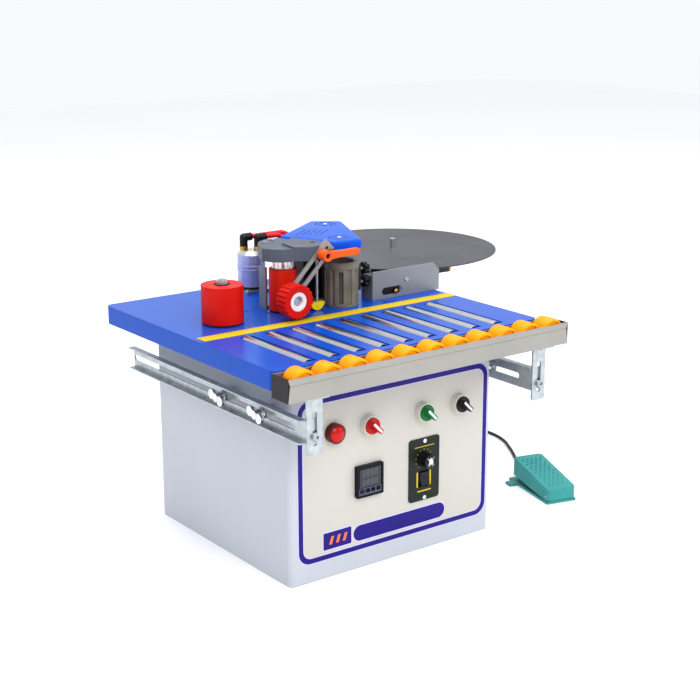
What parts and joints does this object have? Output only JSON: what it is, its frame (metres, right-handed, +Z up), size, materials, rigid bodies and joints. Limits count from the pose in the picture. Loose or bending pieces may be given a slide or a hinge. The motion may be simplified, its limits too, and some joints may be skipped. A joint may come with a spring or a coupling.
{
  "type": "edge banding machine",
  "caption": "Bench-height edge banding machine: sheet cabinet, blue roller table, gluing head, front wheel rail, tape tray and foot pedal.",
  "frame": {"origin": "middle of the cabinet's bottom face, on the floor", "axes": "+Z up, +X to the operator's right along the table, +Y to the back; the front rail is on the -Y side"},
  "size_m": [0.7955, 0.7375, 0.4557],
  "materials": {
    "grey_powder": "fine powder coat",
    "blue_enamel": "glossy enamel",
    "nickel": "satin nickel",
    "navy_plastic": "moulded",
    "green_black_plate": "satin print",
    "zinc": "bright zinc plate",
    "black_steel": "satin black",
    "grey_steel": "brushed",
    "ptfe_casting": "coated casting",
    "blue_plastic": "gloss moulding",
    "grey_casting": "painted casting",
    "aluminium": "satin anodised",
    "yellow_plastic": "moulded",
    "anodised": "anodised",
    "red_hose": "extruded",
    "dark_casting": "painted",
    "black_plastic": "moulded",
    "teal_plastic": "moulded",
    "black_cable": "matt sheath",
    "red_plastic": "moulded",
    "green_plastic": "moulded",
    "grey_disc": "satin grey",
    "red_rubber": "polyurethane tyre",
    "orange_plastic": "moulded",
    "roller_steel": "polished steel",
    "yellow_plastic_wheel": "moulded"
  },
  "bodies": {
    "frame": {"cabinet": "grey_powder", "back_panel": "grey_powder", "table_top": "blue_enamel", "panel_bezels": "nickel", "temp_controller": "navy_plastic", "speed_plate": "green_black_plate", "wing_bolts": "zinc", "tray_arm": "black_steel", "tape_guide": "grey_steel", "glue_pot": "ptfe_casting", "blade_cover": "blue_plastic", "head_arm": "grey_casting", "tape_plate": "aluminium", "tape_stop": "yellow_plastic", "air_cylinder": "anodised", "air_lines": "red_hose", "drive_motors": "dark_casting", "rear_fittings": "black_plastic", "pedal_base": "teal_plastic", "pedal_cord": "black_cable", "cord_coil": "black_cable"},
    "side_rails": {"side_rails": "zinc"},
    "rail": {"rail_channel": "aluminium", "rail_hangers": "zinc"},
    "pedal_tread": {"pedal_tread": "teal_plastic"},
    "blade_carriage": {"blade_carriage": "zinc"},
    "wheel_arm": {"wheel_arm": "grey_steel"},
    "clamp_lever": {"clamp_lever": "orange_plastic"},
    "selector_red": {"selector_red": "red_plastic"},
    "selector_green": {"selector_green": "green_plastic"},
    "selector_black": {"selector_black": "black_plastic"},
    "speed_knob": {"speed_knob": "black_plastic"},
    "rocker": {"rocker": "black_plastic"},
    "tape_tray": {"tape_tray": "grey_disc"},
    "star_upper": {"star_knob_upper": "black_plastic"},
    "star_lower": {"star_knob_lower": "black_plastic"},
    "feed_roller": {"feed_roller": "red_rubber"},
    "glue_roller": {"glue_roller": "ptfe_casting"},
    "press_roller": {"press_roller": "red_rubber"},
    "press_wheel": {"press_wheel": "red_rubber"},
    "table_roller_1": {"table_roller_1": "roller_steel"},
    "table_roller_2": {"table_roller_2": "roller_steel"},
    "table_roller_3": {"table_roller_3": "roller_steel"},
    "table_roller_4": {"table_roller_4": "roller_steel"},
    "table_roller_5": {"table_roller_5": "roller_steel"},
    "table_roller_6": {"table_roller_6": "roller_steel"},
    "table_roller_7": {"table_roller_7": "roller_steel"},
    "table_roller_8": {"table_roller_8": "roller_steel"},
    "table_roller_9": {"table_roller_9": "roller_steel"},
    "rail_wheel_1": {"rail_wheel_1": "yellow_plastic_wheel"},
    "rail_wheel_2": {"rail_wheel_2": "yellow_plastic_wheel"},
    "rail_wheel_3": {"rail_wheel_3": "yellow_plastic_wheel"},
    "rail_wheel_4": {"rail_wheel_4": "yellow_plastic_wheel"},
    "rail_wheel_5": {"rail_wheel_5": "yellow_plastic_wheel"},
    "rail_wheel_6": {"rail_wheel_6": "yellow_plastic_wheel"},
    "rail_wheel_7": {"rail_wheel_7": "yellow_plastic_wheel"},
    "rail_wheel_8": {"rail_wheel_8": "yellow_plastic_wheel"},
    "rail_wheel_9": {"rail_wheel_9": "yellow_plastic_wheel"},
    "rail_wheel_10": {"rail_wheel_10": "yellow_plastic_wheel"},
    "rail_wheel_11": {"rail_wheel_11": "yellow_plastic_wheel"}
  },
  "joints": [
    {"name": "rail_pull", "type": "slide", "parent": "frame", "child": "side_rails", "axis": [0, -1, 0], "range_m": [0, 0.25]},
    {"name": "rail_lift", "type": "slide", "parent": "side_rails", "child": "rail", "axis": [0, 0, 1], "range_m": [-0.028, 0.009]},
    {"name": "pedal_press", "type": "hinge", "parent": "frame", "child": "pedal_tread", "pos_m": [0.35916, -0.16783, 0.012], "axis": [-0.9711, 0.2385, 0], "range_deg": [0, 5], "stiffness_Nm_per_rad": 5, "springref_deg": -3.44},
    {"name": "blade_lift", "type": "slide", "parent": "frame", "child": "blade_carriage", "axis": [0, 0, 1], "range_m": [0, 0.03]},
    {"name": "wheel_arm_slide", "type": "slide", "parent": "frame", "child": "wheel_arm", "axis": [0.7046, 0, 0.7096], "range_m": [0, 0.045]},
    {"name": "clamp_turn", "type": "hinge", "parent": "frame", "child": "clamp_lever", "pos_m": [-0.00271, -0.016, 0.43231], "axis": [0, -1, 0], "range_deg": [0, 80]},
    {"name": "selector_red_turn", "type": "hinge", "parent": "frame", "child": "selector_red", "pos_m": [-0.05, -0.19, 0.219], "axis": [0, -1, 0], "range_deg": [0, 90]},
    {"name": "selector_green_turn", "type": "hinge", "parent": "frame", "child": "selector_green", "pos_m": [0.051, -0.19, 0.219], "axis": [0, -1, 0], "range_deg": [0, 90]},
    {"name": "selector_black_turn", "type": "hinge", "parent": "frame", "child": "selector_black", "pos_m": [0.1205, -0.19, 0.219], "axis": [0, -1, 0], "range_deg": [0, 90]},
    {"name": "speed_turn", "type": "hinge", "parent": "frame", "child": "speed_knob", "pos_m": [0.054, -0.195, 0.144], "axis": [0, 1, 0], "range_deg": [0, 270]},
    {"name": "rocker_tilt", "type": "hinge", "parent": "frame", "child": "rocker", "pos_m": [0.054, -0.181, 0.113], "axis": [1, 0, 0], "range_deg": [0, 20]},
    {"name": "tray_spin", "type": "hinge", "parent": "frame", "child": "tape_tray", "pos_m": [0.3595, 0.277, 0.353], "axis": [0, 0, 1], "continuous": true},
    {"name": "star_upper_turn", "type": "hinge", "parent": "frame", "child": "star_upper", "pos_m": [0.098, 0.02, 0.394], "axis": [1, 0, 0], "continuous": true},
    {"name": "star_lower_turn", "type": "hinge", "parent": "frame", "child": "star_lower", "pos_m": [0.098, 0.02, 0.373], "axis": [1, 0, 0], "continuous": true},
    {"name": "feed_spin", "type": "hinge", "parent": "frame", "child": "feed_roller", "pos_m": [-0.041, 0.042, 0.376], "axis": [0, 0, 1], "continuous": true},
    {"name": "glue_spin", "type": "hinge", "parent": "frame", "child": "glue_roller", "pos_m": [0.055, 0.022, 0.373], "axis": [0, 0, 1], "continuous": true},
    {"name": "press_spin", "type": "hinge", "parent": "frame", "child": "press_roller", "pos_m": [-0.156, 0.033, 0.372], "axis": [0, 0, 1], "continuous": true},
    {"name": "press_wheel_spin", "type": "hinge", "parent": "wheel_arm", "child": "press_wheel", "pos_m": [-0.0626, -0.02, 0.372], "axis": [0, 1, 0], "continuous": true},
    {"name": "table_roller_1_spin", "type": "hinge", "parent": "frame", "child": "table_roller_1", "pos_m": [-0.1735, -0.137, 0.335], "axis": [0, 1, 0], "continuous": true},
    {"name": "table_roller_2_spin", "type": "hinge", "parent": "frame", "child": "table_roller_2", "pos_m": [-0.131, -0.137, 0.335], "axis": [0, 1, 0], "continuous": true},
    {"name": "table_roller_3_spin", "type": "hinge", "parent": "frame", "child": "table_roller_3", "pos_m": [-0.0885, -0.137, 0.335], "axis": [0, 1, 0], "continuous": true},
    {"name": "table_roller_4_spin", "type": "hinge", "parent": "frame", "child": "table_roller_4", "pos_m": [-0.046, -0.137, 0.335], "axis": [0, 1, 0], "continuous": true},
    {"name": "table_roller_5_spin", "type": "hinge", "parent": "frame", "child": "table_roller_5", "pos_m": [-0.0035, -0.137, 0.335], "axis": [0, 1, 0], "continuous": true},
    {"name": "table_roller_6_spin", "type": "hinge", "parent": "frame", "child": "table_roller_6", "pos_m": [0.039, -0.137, 0.335], "axis": [0, 1, 0], "continuous": true},
    {"name": "table_roller_7_spin", "type": "hinge", "parent": "frame", "child": "table_roller_7", "pos_m": [0.0815, -0.137, 0.335], "axis": [0, 1, 0], "continuous": true},
    {"name": "table_roller_8_spin", "type": "hinge", "parent": "frame", "child": "table_roller_8", "pos_m": [0.124, -0.137, 0.335], "axis": [0, 1, 0], "continuous": true},
    {"name": "table_roller_9_spin", "type": "hinge", "parent": "frame", "child": "table_roller_9", "pos_m": [0.1665, -0.137, 0.335], "axis": [0, 1, 0], "continuous": true},
    {"name": "rail_wheel_1_spin", "type": "hinge", "parent": "rail", "child": "rail_wheel_1", "pos_m": [-0.218, -0.254, 0.3305], "axis": [0, 1, 0], "continuous": true},
    {"name": "rail_wheel_2_spin", "type": "hinge", "parent": "rail", "child": "rail_wheel_2", "pos_m": [-0.173, -0.254, 0.3305], "axis": [0, 1, 0], "continuous": true},
    {"name": "rail_wheel_3_spin", "type": "hinge", "parent": "rail", "child": "rail_wheel_3", "pos_m": [-0.128, -0.254, 0.3305], "axis": [0, 1, 0], "continuous": true},
    {"name": "rail_wheel_4_spin", "type": "hinge", "parent": "rail", "child": "rail_wheel_4", "pos_m": [-0.083, -0.254, 0.3305], "axis": [0, 1, 0], "continuous": true},
    {"name": "rail_wheel_5_spin", "type": "hinge", "parent": "rail", "child": "rail_wheel_5", "pos_m": [-0.038, -0.254, 0.3305], "axis": [0, 1, 0], "continuous": true},
    {"name": "rail_wheel_6_spin", "type": "hinge", "parent": "rail", "child": "rail_wheel_6", "pos_m": [0.007, -0.254, 0.3305], "axis": [0, 1, 0], "continuous": true},
    {"name": "rail_wheel_7_spin", "type": "hinge", "parent": "rail", "child": "rail_wheel_7", "pos_m": [0.052, -0.254, 0.3305], "axis": [0, 1, 0], "continuous": true},
    {"name": "rail_wheel_8_spin", "type": "hinge", "parent": "rail", "child": "rail_wheel_8", "pos_m": [0.097, -0.254, 0.3305], "axis": [0, 1, 0], "continuous": true},
    {"name": "rail_wheel_9_spin", "type": "hinge", "parent": "rail", "child": "rail_wheel_9", "pos_m": [0.142, -0.254, 0.3305], "axis": [0, 1, 0], "continuous": true},
    {"name": "rail_wheel_10_spin", "type": "hinge", "parent": "rail", "child": "rail_wheel_10", "pos_m": [0.187, -0.254, 0.3305], "axis": [0, 1, 0], "continuous": true},
    {"name": "rail_wheel_11_spin", "type": "hinge", "parent": "rail", "child": "rail_wheel_11", "pos_m": [0.232, -0.254, 0.3305], "axis": [0, 1, 0], "continuous": true}
  ],
  "couplings": [
    {"joint": "glue_spin", "follows": "feed_spin", "ratio": 1.2794}
  ]
}
